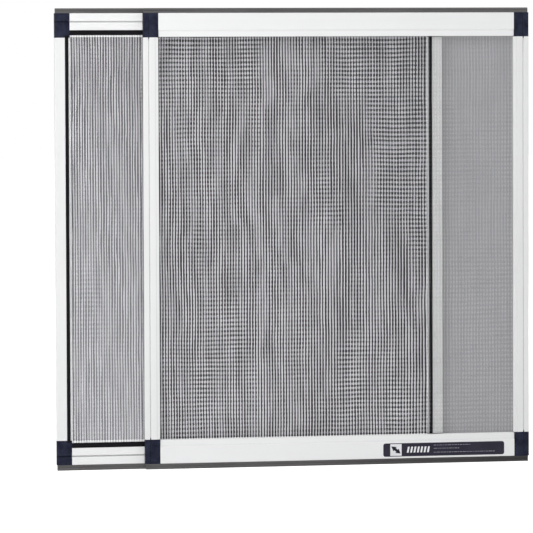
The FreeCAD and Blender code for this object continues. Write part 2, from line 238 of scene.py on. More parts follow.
def build_painted_shade_group() -> bpy.types.NodeTree:
    """Shared painted shade: a mask of narrow grooves and corners, which are darkened as if less light
    reached them.

    Returns:
        Group with the output Mask, from 0 on open faces to 1 deep in a groove.
    """
    group, graph, given, result = new_group(
        "groove_grime",
        {"Reach": "NodeSocketFloat"},
        {"Mask": "NodeSocketFloat"},
    )
    openness = graph.node("ShaderNodeAmbientOcclusion", {"samples": OPEN_SAMPLES, "only_local": True},
                          Distance=given.outputs["Reach"])
    graph.feed(result.inputs["Mask"], graph.span(openness.outputs["AO"], *OPEN_RANGE, 1.0, 0.0))
    return group


@dataclass(frozen=True)
class Effects:
    """The node groups that the finishes share."""

    grain: bpy.types.NodeTree = field(default_factory=build_grain_group)
    drawn: bpy.types.NodeTree = field(default_factory=build_drawn_group)
    painted_shade: bpy.types.NodeTree = field(default_factory=build_painted_shade_group)


# Finishes

def begin_material(name: str) -> tuple[bpy.types.Material, Graph, bpy.types.Node]:
    """New material with its shader linked to its output.

    Args:
        name: the material's name.

    Returns:
        The material, its graph and its Principled BSDF.
    """
    material = bpy.data.materials.new(name)
    material.use_nodes = True
    graph = Graph(material.node_tree)
    shader = graph.node("ShaderNodeBsdfPrincipled")
    graph.node("ShaderNodeOutputMaterial", Surface=shader.outputs[0])
    return material, graph, shader


def add_relief(graph: Graph, shader: bpy.types.Node, height: bpy.types.NodeSocket, depth: float) -> None:
    """Give a shader relief of a depth in metres through a Bump node."""
    bump = graph.node("ShaderNodeBump", Height=height, Strength=1.0, Distance=depth)
    graph.feed(shader.inputs["Normal"], bump.outputs[0])


@dataclass(frozen=True)
class PowderCoat:
    """White satin powder coat on an aluminium extrusion."""

    along: Axis
    colour: tuple = (0.885, 0.89, 0.892, 1.0)
    shaded_colour: tuple = (0.855, 0.86, 0.865, 1.0)
    # Painted shade in the grooves: its grey colour and how far the mask reaches.
    painted_shade_colour: tuple = (0.2, 0.2, 0.205, 1.0)
    painted_shade_reach: float = 1.8 * MILLIMETRE
    roughness: tuple = (0.34, 0.44)
    peel_scale: float = 1100.0
    peel_depth: float = 0.006 * MILLIMETRE
    mottle_scale: float = 9.0
    line_scale: float = 900.0
    line_share: float = 0.35
    stretch: float = 0.01

    def build(self, effects: Effects) -> bpy.types.Material:
        """Material with orange peel, faint die lines, a slow change of tone and painted shade in its
        grooves.
        """
        material, graph, shader = begin_material(f"powder_coat_{self.along.name.lower()}")
        scale = Vector((1, 1, 1)) - self.along.vector * (1 - self.stretch)
        grain = graph.node("ShaderNodeGroup", {"node_tree": effects.grain}, Vector=graph.place(),
                           Grain_Scale=self.peel_scale, Mottle_Scale=self.mottle_scale)
        drawn = graph.node("ShaderNodeGroup", {"node_tree": effects.drawn}, Vector=graph.place(scale),
                           Line_Scale=self.line_scale)
        tone = graph.math("MULTIPLY", grain.outputs["Mottle"], drawn.outputs["Lines"])
        # Painted shade: the grooves are darkened towards a grey colour.
        painted_shade = graph.node("ShaderNodeGroup", {"node_tree": effects.painted_shade}, Reach=self.painted_shade_reach)
        clean = graph.blend(tone, self.colour, self.shaded_colour)
        graph.feed(shader.inputs["Base Color"],
                   graph.blend(painted_shade.outputs["Mask"], clean, self.painted_shade_colour))
        graph.feed(shader.inputs["Roughness"], graph.span(drawn.outputs["Lines"], 0, 1, *self.roughness))
        lines = graph.math("MULTIPLY", drawn.outputs["Lines"], self.line_share)
        height = graph.math("ADD", grain.outputs["Height"], lines)
        add_relief(graph, shader, height, self.peel_depth)
        return material


@dataclass(frozen=True)
class MouldedPlastic:
    """Navy plastic of the corner keys, spark-textured in the mould."""

    colour: tuple = (0.009, 0.01, 0.024, 1.0)
    bloom_colour: tuple = (0.024, 0.028, 0.05, 1.0)
    roughness: tuple = (0.42, 0.58)
    reflectance: float = 0.09
    grain_scale: float = 2600.0
    mottle_scale: float = 120.0
    texture_depth: float = 0.02 * MILLIMETRE

    def build(self, effects: Effects) -> bpy.types.Material:
        """Material with a fine mould texture and slightly paler patches."""
        material, graph, shader = begin_material("moulded_navy_plastic")
        grain = graph.node("ShaderNodeGroup", {"node_tree": effects.grain}, Vector=graph.place(),
                           Grain_Scale=self.grain_scale, Mottle_Scale=self.mottle_scale)
        graph.feed(shader.inputs["Base Color"],
                   graph.blend(grain.outputs["Mottle"], self.colour, self.bloom_colour))
        graph.feed(shader.inputs["Roughness"],
                   graph.span(grain.outputs["Mottle"], 0, 1, *self.roughness))
        shader.inputs["Specular IOR Level"].default_value = self.reflectance
        add_relief(graph, shader, grain.outputs["Height"], self.texture_depth)
        return material


@dataclass(frozen=True)
class SealVinyl:
    """Dark grey vinyl of the edge seals, drawn through a die."""

    colour: tuple = (0.035, 0.033, 0.034, 1.0)
    worn_colour: tuple = (0.185, 0.18, 0.182, 1.0)
    roughness: tuple = (0.36, 0.54)
    reflectance: float = 0.25
    line_scale: float = 620.0
    line_share: float = 0.6
    line_depth: float = 0.05 * MILLIMETRE
    grain_scale: float = 1500.0
    mottle_scale: float = 5.0
    stretch: float = 0.004
    # Painted shade: the seal darkens towards its right end, within these limits along X and below this
    # height.
    lower_right_shade_reach: tuple = (-0.08, 0.22)
    lower_right_shade_height: float = 0.1

    def build(self, effects: Effects) -> bpy.types.Material:
        """Material with long fine lines and paler wear, darkened by painted shade towards the lower
        right corner.
        """
        material, graph, shader = begin_material("seal_vinyl")
        drawn = graph.node("ShaderNodeGroup", {"node_tree": effects.drawn},
                           Vector=graph.place((self.stretch, 1, 1)), Line_Scale=self.line_scale)
        grain = graph.node("ShaderNodeGroup", {"node_tree": effects.grain}, Vector=graph.place(),
                           Grain_Scale=self.grain_scale, Mottle_Scale=self.mottle_scale)
        tone = graph.math("ADD", graph.math("MULTIPLY", drawn.outputs["Lines"], self.line_share),
                          graph.math("MULTIPLY", grain.outputs["Mottle"], 1 - self.line_share))
        # Painted shade towards the lower right, which takes away the paler wear there.
        lower_right_shade = graph.math("MULTIPLY", graph.span(graph.coordinate(Axis.Z), self.lower_right_shade_height, 0),
                           graph.span(graph.coordinate(Axis.X), *self.lower_right_shade_reach))
        wear_and_shade = graph.math("MULTIPLY", tone, graph.math("SUBTRACT", 1.0, lower_right_shade))
        graph.feed(shader.inputs["Base Color"], graph.blend(wear_and_shade, self.colour, self.worn_colour))
        graph.feed(shader.inputs["Roughness"], graph.span(tone, 0, 1, *self.roughness))
        shader.inputs["Specular IOR Level"].default_value = self.reflectance
        add_relief(graph, shader, drawn.outputs["Lines"], self.line_depth)
        return material


@dataclass(frozen=True)
class SplineVinyl:
    """Black ribbed vinyl of the spline."""

    along: Axis
    colour: tuple = (0.004, 0.004, 0.005, 1.0)
    pale_colour: tuple = (0.009, 0.009, 0.011, 1.0)
    roughness: tuple = (0.42, 0.6)
    reflectance: float = 0.06
    rib_pitch: float = 0.7 * MILLIMETRE
    rib_depth: float = 0.08 * MILLIMETRE
    rib_share: float = 0.5
    grain_share: float = 0.3
    grain_scale: float = 1800.0
    mottle_scale: float = 60.0

    def build(self, effects: Effects) -> bpy.types.Material:
        """Material with fine ribs along the spline and a matt, slightly uneven surface."""
        material, graph, shader = begin_material(f"spline_vinyl_{self.along.name.lower()}")
        across = Axis.Z if self.along is Axis.X else Axis.X
        angle = graph.math("MULTIPLY", graph.coordinate(across), 2 * math.pi / self.rib_pitch)
        ribs = graph.math("SINE", angle)
        grain = graph.node("ShaderNodeGroup", {"node_tree": effects.grain}, Vector=graph.place(),
                           Grain_Scale=self.grain_scale, Mottle_Scale=self.mottle_scale)
        graph.feed(shader.inputs["Base Color"],
                   graph.blend(grain.outputs["Mottle"], self.colour, self.pale_colour))
        graph.feed(shader.inputs["Roughness"],
                   graph.span(grain.outputs["Mottle"], 0, 1, *self.roughness))
        shader.inputs["Specular IOR Level"].default_value = self.reflectance
        height = graph.math("ADD", graph.math("MULTIPLY", ribs, self.rib_share),
                            graph.math("MULTIPLY", grain.outputs["Height"], self.grain_share))
        add_relief(graph, shader, height, self.rib_depth)
        return material


@dataclass(frozen=True)
class ScreenWire:
    """Dark coated wire with painted glints: some strands are coloured bright as painted highlights.

    The bright strands follow one another in waves, which stand closer together towards the left and
    break off here and there. To the right of calm_from the wires are dark and nearly even, with weak
    painted glints.
    """

    name: str
    tone: float
    contrast: float
    level_share: float
    shift: float = 0.0
    calm_from: float = math.inf
    calm_tone: float = 0.035
    calm_share: float = 0.13
    calm_width: float = 5 * MILLIMETRE
    dull_colour: tuple = (0.015, 0.015, 0.018, 1.0)
    # Colour of the painted glints and of the paler patches.
    bright_colour: tuple = (0.95, 0.945, 0.98, 1.0)
    upright_period: float = 3.9 * MILLIMETRE
    upright_drift: float = 95.0
    level_period: float = 5.85 * MILLIMETRE
    wander: float = 5.0
    wander_scale: float = 11.0
    jitter: float = 1.5
    strand_scale: float = 800.0
    strand_stretch: float = 0.03
    patch_scale: float = 15.0
    patch_height: float = 0.35
    patch_range: tuple = (0.35, 0.6)
    patch_least: float = 0.4
    seeds: tuple = (3.1, 7.7)
    cloud_tone: float = 0.07
    cloud_scales: tuple = (1200.0, 17.0)
    streak_tone: float = 0.25
    streak_scale: float = 190.0
    streak_height: float = 0.06
    metal: float = 1.0
    roughness: tuple = (0.36, 0.52)
    roughness_range: tuple = (0.2, 0.8)

    def painted_glints(self, graph: Graph, axis: Axis, period: float, drift: float, share: float,
               seed: float) -> bpy.types.NodeSocket:
        """Painted glints: bright and dull strands in turn across one axis, coming and going over the
        panel.

        Args:
            graph: the material's graph.
            axis: the axis that the strands follow one another along.
            period: distance between two bright strands at the origin.
            drift: how many fewer bright strands a metre there are for each metre farther along the axis.
            share: how much they change the tone.
            seed: offset that makes this pattern differ from the others.

        Returns:
            Value around zero.
        """
        wave = graph.noise(graph.place(centre=(seed, 0, seed)), self.wander_scale)
        along = graph.coordinate(axis, (self.shift, 0, 0))
        rate = graph.math("SUBTRACT", 1 / period, graph.math("MULTIPLY", along, drift / 2))
        turns = graph.math("MULTIPLY", along, rate)
        angle = graph.math("ADD", graph.math("MULTIPLY", turns, 2 * math.pi),
                           graph.math("MULTIPLY", wave, self.wander))
        strand = Axis.Z if axis is Axis.X else Axis.X
        broken = graph.noise(graph.place(Vector((1, 1, 1)) - strand.vector * (1 - self.strand_stretch)),
                             self.strand_scale, detail=0.0)
        angle = graph.math("ADD", angle, graph.math("MULTIPLY", broken, self.jitter))
        patches = graph.noise(graph.place((1, 1, self.patch_height), (0, seed, 0)), self.patch_scale)
        strength = graph.span(patches, *self.patch_range, self.patch_least * share, share)
        return graph.math("MULTIPLY", graph.math("COSINE", angle), strength)

    def calm(self, graph: Graph, before: float, beyond: float) -> object:
        """Value that changes towards the place calm_from, from where on the panel is calm.

        Args:
            graph: the material's graph.
            before: value to the left of that place.
            beyond: value to the right of it.

        Returns:
            Output socket, or the first value where the panel is the same all over.
        """
        if math.isinf(self.calm_from):
            return before
        return graph.span(graph.coordinate(Axis.X), self.calm_from - self.calm_width, self.calm_from,
                          before, beyond)

    def build(self, effects: Effects) -> bpy.types.Material:
        """Metal whose tone changes from strand to strand through painted glints and a slow uneven tone.
        """
        material, graph, shader = begin_material(f"screen_wire_{self.name}")
        # Painted glints: bright strands that follow one another across and up the panel.
        upright = self.painted_glints(graph, Axis.X, self.upright_period, self.upright_drift, self.contrast,
                              self.seeds[0])
        level = self.painted_glints(graph, Axis.Z, self.level_period, 0.0, self.contrast * self.level_share,
                            self.seeds[1])
        cloud = graph.node("ShaderNodeGroup", {"node_tree": effects.grain},
                           Vector=graph.place((1, 1, self.patch_height)),
                           Grain_Scale=self.cloud_scales[0], Mottle_Scale=self.cloud_scales[1])
        slow = graph.span(cloud.outputs["Mottle"], 0, 1, -self.cloud_tone, self.cloud_tone)
        streaks = graph.noise(graph.place((1, 1, self.streak_height)), self.streak_scale)
        uneven = graph.math("ADD", slow, graph.span(streaks, *MOTTLE_RANGE, -self.streak_tone,
                                                    self.streak_tone))
        change = graph.math("ADD", graph.math("ADD", upright, level), uneven)
        change = graph.math("MULTIPLY", change, self.calm(graph, 1.0, self.calm_share))
        tone = graph.math("ADD", change, self.calm(graph, self.tone, self.calm_tone))
        graph.feed(shader.inputs["Base Color"],
                   graph.blend(graph.span(tone, 0, 1), self.dull_colour, self.bright_colour))
        shader.inputs["Metallic"].default_value = self.metal
        graph.feed(shader.inputs["Roughness"],
                   graph.span(cloud.outputs["Height"], *self.roughness_range, *self.roughness))
        return material


@dataclass(frozen=True)
class PrintedFilm:
    """Dark film of the label, or the pale ink on it."""

    name: str
    colour: tuple
    faded_colour: tuple
    reflectance: float = 0.2
    roughness: tuple = (0.3, 0.42)
    grain_scale: float = 2200.0
    mottle_scale: float = 45.0
    grain_depth: float = 0.004 * MILLIMETRE

    def build(self, effects: Effects) -> bpy.types.Material:
        """Material with the fine, slightly uneven surface of printed film."""
        material, graph, shader = begin_material(f"printed_{self.name}")
        grain = graph.node("ShaderNodeGroup", {"node_tree": effects.grain}, Vector=graph.place(),
                           Grain_Scale=self.grain_scale, Mottle_Scale=self.mottle_scale)
        graph.feed(shader.inputs["Base Color"],
                   graph.blend(grain.outputs["Mottle"], self.colour, self.faded_colour))
        graph.feed(shader.inputs["Roughness"],
                   graph.span(grain.outputs["Height"], 0, 1, *self.roughness))
        shader.inputs["Specular IOR Level"].default_value = self.reflectance
        add_relief(graph, shader, grain.outputs["Height"], self.grain_depth)
        return material


# Modelling helpers

def deselect_all() -> None:
    """Leave nothing selected, so that the next operator acts on its own piece alone."""
    bpy.ops.object.select_all(action="DESELECT")


def only(piece: bpy.types.Object) -> None:
    """Make one piece the selected and the active one."""
    deselect_all()
    piece.select_set(True)
    bpy.context.view_layer.objects.active = piece


def select_faces(piece: bpy.types.Object, chosen) -> None:
    """In edit mode, select only the faces for which chosen gives a true value.

    Args:
        piece: the mesh object being edited.
        chosen: function of one face.
    """
    bpy.ops.mesh.select_all(action="DESELECT")
    bpy.ops.object.mode_set(mode="OBJECT")
    for polygon in piece.data.polygons:
        polygon.select = bool(chosen(polygon))
    bpy.ops.object.mode_set(mode="EDIT")


def select_edges(piece: bpy.types.Object, chosen) -> None:
    """In edit mode, select only the edges for which chosen, given the edge's vector, is true."""
    bpy.ops.mesh.select_all(action="DESELECT")
    bpy.ops.mesh.select_mode(type="EDGE")
    bpy.ops.object.mode_set(mode="OBJECT")
    points = piece.data.vertices
    for edge in piece.data.edges:
        first, second = edge.vertices
        edge.select = bool(chosen(points[second].co - points[first].co))
    bpy.ops.object.mode_set(mode="EDIT")


def apply_modifiers(piece: bpy.types.Object) -> None:
    """Apply every modifier of a piece in order."""
    only(piece)
    for modifier in list(piece.modifiers):
        bpy.ops.object.modifier_apply(modifier=modifier.name)


def set_down(piece: bpy.types.Object) -> None:
    """Move a piece's place, turn and size into its mesh."""
    only(piece)
    bpy.ops.object.transform_apply(location=True, rotation=True, scale=True)


def join(pieces: list[bpy.types.Object], name: str) -> bpy.types.Object:
    """Join several pieces into one mesh object with a new name."""
    only(pieces[0])
    for piece in pieces:
        piece.select_set(True)
    bpy.ops.object.join()
    joined = bpy.context.view_layer.objects.active
    joined.name = name
    joined.data.name = name
    return joined


def hand_over(piece: bpy.types.Object, body: str, material: bpy.types.Material) -> None:
    """Dress a new piece, tie it to its body and report it."""
    piece.data.materials.clear()
    piece.data.materials.append(material)
    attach(piece, body)
    log.info("%s: %d faces on %s", piece.name, len(piece.data.polygons), body)


# Wire mesh

@dataclass
class WirePanel:
    """Woven wire of one frame, tucked into the grooves at its four edges.

    The wires throw no shadow and hold back no soft light, because wires this thin hardly darken what
    lies behind them.
    """

    frame_name: str
    side: SplineSide
    material: bpy.types.Material
    wire_width: float
    pitch: float = 1.3 * MILLIMETRE
    lap: float = 0.36 * MILLIMETRE
    ridge_height: float = 0.35 * MILLIMETRE
    wall: float = 0.4 * MILLIMETRE
    tuck: float = 2.4 * MILLIMETRE
    sides: int = 5
    lengths: int = 10
    sway: float = 0.7 * MILLIMETRE
    sway_scale: float = 0.09

    @property
    def radius(self) -> float:
        """Radius of one wire."""
        return self.wire_width / 2

    def opening(self) -> tuple[Vector, Vector]:
        """Lowest and highest corner of the frame's opening, between its stiles and rails."""
        left, right, bottom, top = (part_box(f"{self.frame_name}_{part}")
                                    for part in ("left_stile", "right_stile", "bottom_rail", "top_rail"))
        return Vector((left[1][0], 0, bottom[1][2])), Vector((right[0][0], 0, top[0][2]))

    def template(self, length: float, name: str) -> bpy.types.Object:
        """One wire along X, centred at the origin, with both ends bent towards the groove's floor.

        Args:
            length: distance between the outsides of the two bends.
            name: the wire's name.

        Returns:
            The wire's mesh object.
        """
        deselect_all()
        straight = length - self.wire_width
        bpy.ops.mesh.primitive_cylinder_add(vertices=self.sides, radius=self.radius, depth=straight,
                                            rotation=(0, math.pi / 2, 0), location=(0, 0, 0))
        wire = bpy.context.view_layer.objects.active
        wire.name = name
        set_down(wire)
        bpy.ops.object.mode_set(mode="EDIT")
        select_edges(wire, lambda way: abs(way.x) > straight / 2)
        bpy.ops.mesh.subdivide(number_cuts=self.lengths - 1)
        bpy.ops.mesh.select_mode(type="FACE")
        towards_floor = -self.side.value
        for end in (-1, 1):
            select_faces(wire, lambda face, end=end: (face.normal.x * end > FACING
                                                      and len(face.vertices) == self.sides))
            bpy.ops.mesh.extrude_region_move(
                TRANSFORM_OT_translate={"value": (end * self.radius, towards_floor * self.radius, 0)})
            bpy.ops.transform.rotate(value=end * towards_floor * -math.pi / 4, orient_axis="Z",
                                     center_override=(end * (straight / 2 + self.radius),
                                                      towards_floor * self.radius, 0))
            bpy.ops.mesh.extrude_region_move(
                TRANSFORM_OT_translate={"value": (0, towards_floor * (self.tuck - self.radius), 0)})
        bpy.ops.object.mode_set(mode="OBJECT")
        return wire

    def lay(self, across: Axis, length: float, depth: float) -> bpy.types.Object:
        """All wires that follow one another across one axis of the opening.

        Args:
            across: axis along which the wires are repeated.
            length: length of each wire between its bends.
            depth: place of the wires' centres along Y.

        Returns:
            One mesh object with every wire.
        """
        low, high = self.opening()
        room = (high - low)[across.value]
        count = int(room / self.pitch)
        margin = (room - (count - 1) * self.pitch) / 2
        wires = self.template(length, "wire")
        if across is Axis.X:
            wires.rotation_euler = (0, math.pi / 2, 0)
        middle = (low + high) / 2
        middle.y = depth
        middle[across.value] = low[across.value] + margin
        wires.location = middle
        set_down(wires)
        repeat = wires.modifiers.new("repeat", "ARRAY")
        repeat.use_relative_offset = False
        repeat.use_constant_offset = True
        repeat.constant_offset_displace = across.vector * self.pitch
        repeat.count = count
        sway = wires.modifiers.new("sway", "DISPLACE")
        sway.direction = across.name
        sway.texture_coords = "LOCAL"
        sway.texture = bpy.data.textures.new("sway", "CLOUDS")
        sway.texture.noise_scale = self.sway_scale
        sway.strength = self.sway
        apply_modifiers(wires)
        return wires

    def build(self) -> bpy.types.Object:
        """Weave the panel and let it stand for the plain one.

        Returns:
            The finished panel.
        """
        node = f"{self.frame_name}_mesh"
        low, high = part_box(node)
        face = high.y if self.side is SplineSide.BACK else low.y
        lip = face - self.side.value * (self.ridge_height + self.wall)
        level_depth = lip + self.side.value * self.radius
        upright_depth = level_depth + self.side.value * self.lap
        uprights = self.lay(Axis.X, high[Axis.Z.value] - low[Axis.Z.value], upright_depth)
        levels = self.lay(Axis.Z, high[Axis.X.value] - low[Axis.X.value], level_depth)
        panel = join([uprights, levels], f"{self.frame_name}_wire_mesh")
        only(panel)
        bpy.ops.object.shade_smooth()
        panel.visible_shadow = False
        panel.visible_diffuse = False
        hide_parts(node)
        hand_over(panel, f"{self.frame_name}_frame", self.material)
        return panel


# Label

@dataclass
class LabelPrint:
    """Plain marks on the label: a pale square with an arrow, a row of bars and dashed lines."""

    ink: bpy.types.Material
    faint_ink: bpy.types.Material
    film: bpy.types.Material
    thickness: float = 0.02 * MILLIMETRE
    sink: float = 0.005 * MILLIMETRE
    square_left: float = 9.5 * MILLIMETRE
    square_width: float = 15.5 * MILLIMETRE
    square_margin: float = 1.0 * MILLIMETRE
    arrow_tilt: float = math.radians(-38)
    arrow_length: float = 7.6 * MILLIMETRE
    arrow_width: float = 3.6 * MILLIMETRE
    arrow_head: float = 4.2 * MILLIMETRE
    bars_left: float = 32.0 * MILLIMETRE
    bar_pitch: float = 4.6 * MILLIMETRE
    bar_width: float = 2.5 * MILLIMETRE
    bar_height: float = 8.0 * MILLIMETRE
    bar_slant: float = 1.6 * MILLIMETRE
    bar_count: int = 7
    lines_left: float = 69.0 * MILLIMETRE
    line_height: float = 0.75 * MILLIMETRE
    line_levels: tuple = (14.0 * MILLIMETRE, 9.6 * MILLIMETRE, 4.4 * MILLIMETRE)
    line_lengths: tuple = (52.0 * MILLIMETRE, 38.0 * MILLIMETRE, 88.0 * MILLIMETRE)
    dash_lengths: tuple = (3.4, 2.1, 4.6, 1.5, 2.8, 5.2, 2.4, 3.9, 1.8)
    dash_gap: float = 0.9 * MILLIMETRE
    dash_step: int = 2

    def slab(self, x: tuple, z: tuple, slant: float = 0.0) -> bpy.types.Object:
        """One flat mark between two limits along X and along Z of the label.

        Args:
            x: limits from the label's left end.
            z: limits from the label's lower edge.
            slant: how far the upper edge lies to the right of the lower one.

        Returns:
            The mark's mesh object, its back just under the film's surface.
        """
        low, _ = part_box("front_label")
        size = (x[1] - x[0], self.thickness + self.sink, z[1] - z[0])
        centre = low + Vector((sum(x) / 2, (self.sink - self.thickness) / 2, sum(z) / 2))
        deselect_all()
        bpy.ops.mesh.primitive_cube_add(size=1, location=centre)
        mark = bpy.context.view_layer.objects.active
        mark.scale = size
        set_down(mark)
        if slant:
            bpy.ops.object.mode_set(mode="EDIT")
            select_faces(mark, lambda face: face.normal.z > FACING)
            bpy.ops.transform.translate(value=(slant, 0, 0))
            bpy.ops.object.mode_set(mode="OBJECT")
        return mark

    def arrow(self, height: float) -> bpy.types.Object:
        """Dark double-headed arrow that lies slantwise on the pale square.

        Args:
            height: height of the label.

        Returns:
            The arrow's mesh object.
        """
        low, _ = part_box("front_label")
        across, upward = self.square_left + self.square_width / 2, height / 2
        half = self.arrow_length / 2
        parts = [self.slab((across - half, across + half),
                           (upward - self.arrow_width / 2, upward + self.arrow_width / 2))]
        centre = Vector((low.x + across, parts[0].bound_box[0][1] + self.thickness / 2, low.z + upward))
        for end in (-1, 1):
            deselect_all()
            bpy.ops.mesh.primitive_cylinder_add(vertices=3, radius=self.arrow_head,
                                                depth=self.thickness + self.sink,
                                                rotation=(math.pi / 2, end * math.pi / 2, 0))
            head = bpy.context.view_layer.objects.active
            head.location = (centre.x + end * half, centre.y + self.sink / 2, centre.z)
            set_down(head)
            parts.append(head)
        arrow = join(parts, "label_arrow")
        bpy.ops.object.mode_set(mode="EDIT")
        bpy.ops.mesh.select_all(action="SELECT")
        bpy.ops.transform.rotate(value=self.arrow_tilt, orient_axis="Y", center_override=centre)
        bpy.ops.transform.translate(value=(0, -self.thickness, 0))
        bpy.ops.object.mode_set(mode="OBJECT")
        return arrow

    def dashes(self, level: float, length: float, start: int) -> list[bpy.types.Object]:
        """A broken line of dashes of unequal length.

        Args:
            level: height of the line above the label's lower edge.
            length: the most that it may take up.
            start: which of the dash lengths comes first.

        Returns:
            The dashes.
        """
        marks = []
        at, index = self.lines_left, start
        while True:
            dash = self.dash_lengths[index % len(self.dash_lengths)] * MILLIMETRE
            if at + dash > self.lines_left + length:
                return marks
            marks.append(self.slab((at, at + dash), (level, level + self.line_height)))
            at += dash + self.dash_gap
            index += 1

    def build(self) -> None:
        """Print the pale marks, the faint lines and the arrow."""
        low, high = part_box("front_label")
        height = high.z - low.z
        marks = [self.slab((self.square_left, self.square_left + self.square_width),
                           (self.square_margin, height - self.square_margin))]
        bar_low = (height - self.bar_height) / 2
        for index in range(self.bar_count):
            left = self.bars_left + index * self.bar_pitch
            marks.append(self.slab((left, left + self.bar_width), (bar_low, bar_low + self.bar_height),
                                   self.bar_slant))
        hand_over(join(marks, "label_print"), "front_frame", self.ink)
        lines = []
        for index, (level, length) in enumerate(zip(self.line_levels, self.line_lengths)):
            lines += self.dashes(level, length, index * self.dash_step)
        hand_over(join(lines, "label_lines"), "front_frame", self.faint_ink)
        hand_over(self.arrow(height), "front_frame", self.film)


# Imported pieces

@dataclass
class SlidingFrame:
    """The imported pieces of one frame, which keep their shapes and get their finishes here."""

    name: str

    def dress(self, finishes: dict[str, bpy.types.Material]) -> None:
        """Put a finish on each piece whose name ends as a key of finishes says.

        Args:
            finishes: material for each ending of a node's name.
        """
        for node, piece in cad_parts.items():
            if not node.startswith(self.name):
                continue
            for ending, material in finishes.items():
                if node.endswith(ending):
                    piece.material_slots[0].material = material
                    log.info("%s: %s", node, material.name)


# Studio

@dataclass(frozen=True)
class Lamp:
    """Square soft light: where it hangs, the length of its side and its power in watts."""

    name: str
    place: tuple
    size: float
    power: float


@dataclass(frozen=True)
class Card:
    """Backdrop card that goes along with one frame.

    Its limits are its left and right edge along X, and its gap is its distance behind the object. The
    glow is light added for the eye, and the top shade is painted shade: how much of its lightness it
    loses to its top.
    """

    name: str
    body: str
    limits: tuple
    gap: float
    colour: tuple
    glow: float
    fade: float = 0.0


